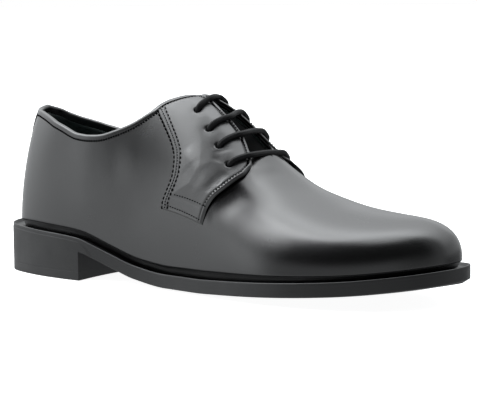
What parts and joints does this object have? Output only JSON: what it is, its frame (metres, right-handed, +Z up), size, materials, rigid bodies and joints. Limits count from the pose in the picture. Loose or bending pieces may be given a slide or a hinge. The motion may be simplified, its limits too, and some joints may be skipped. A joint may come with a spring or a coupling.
{
  "type": "derby shoe",
  "caption": "Right derby dress shoe with curved eyelet facings, straight lace bars over the throat, a smooth vamp and a stacked heel.",
  "frame": {"origin": "on the floor under the middle of the heel", "axes": "+X toward the toe, +Z up, -Y toward the shoe's outer side"},
  "size_m": [0.3053, 0.1009, 0.1104],
  "materials": {
    "sole_rubber": "smooth black moulded rubber, faint lines along its side",
    "insole_leather": "plain matt insole leather, hidden",
    "upper_leather": "smooth black calf with a soft polish",
    "facing_leather": "smooth black calf with a fine grain",
    "lace_cotton": "round waxed black cotton cord"
  },
  "bodies": {
    "root": {"outsole": "sole_rubber", "heel_block": "sole_rubber", "heel_top_lift": "sole_rubber", "insole": "insole_leather", "upper": "upper_leather", "tongue": "upper_leather", "facing_outer": "facing_leather", "facing_inner": "facing_leather", "lace_bar_1": "lace_cotton", "lace_bar_2": "lace_cotton", "lace_bar_3": "lace_cotton", "lace_bar_4": "lace_cotton"}
  },
  "joints": []
}
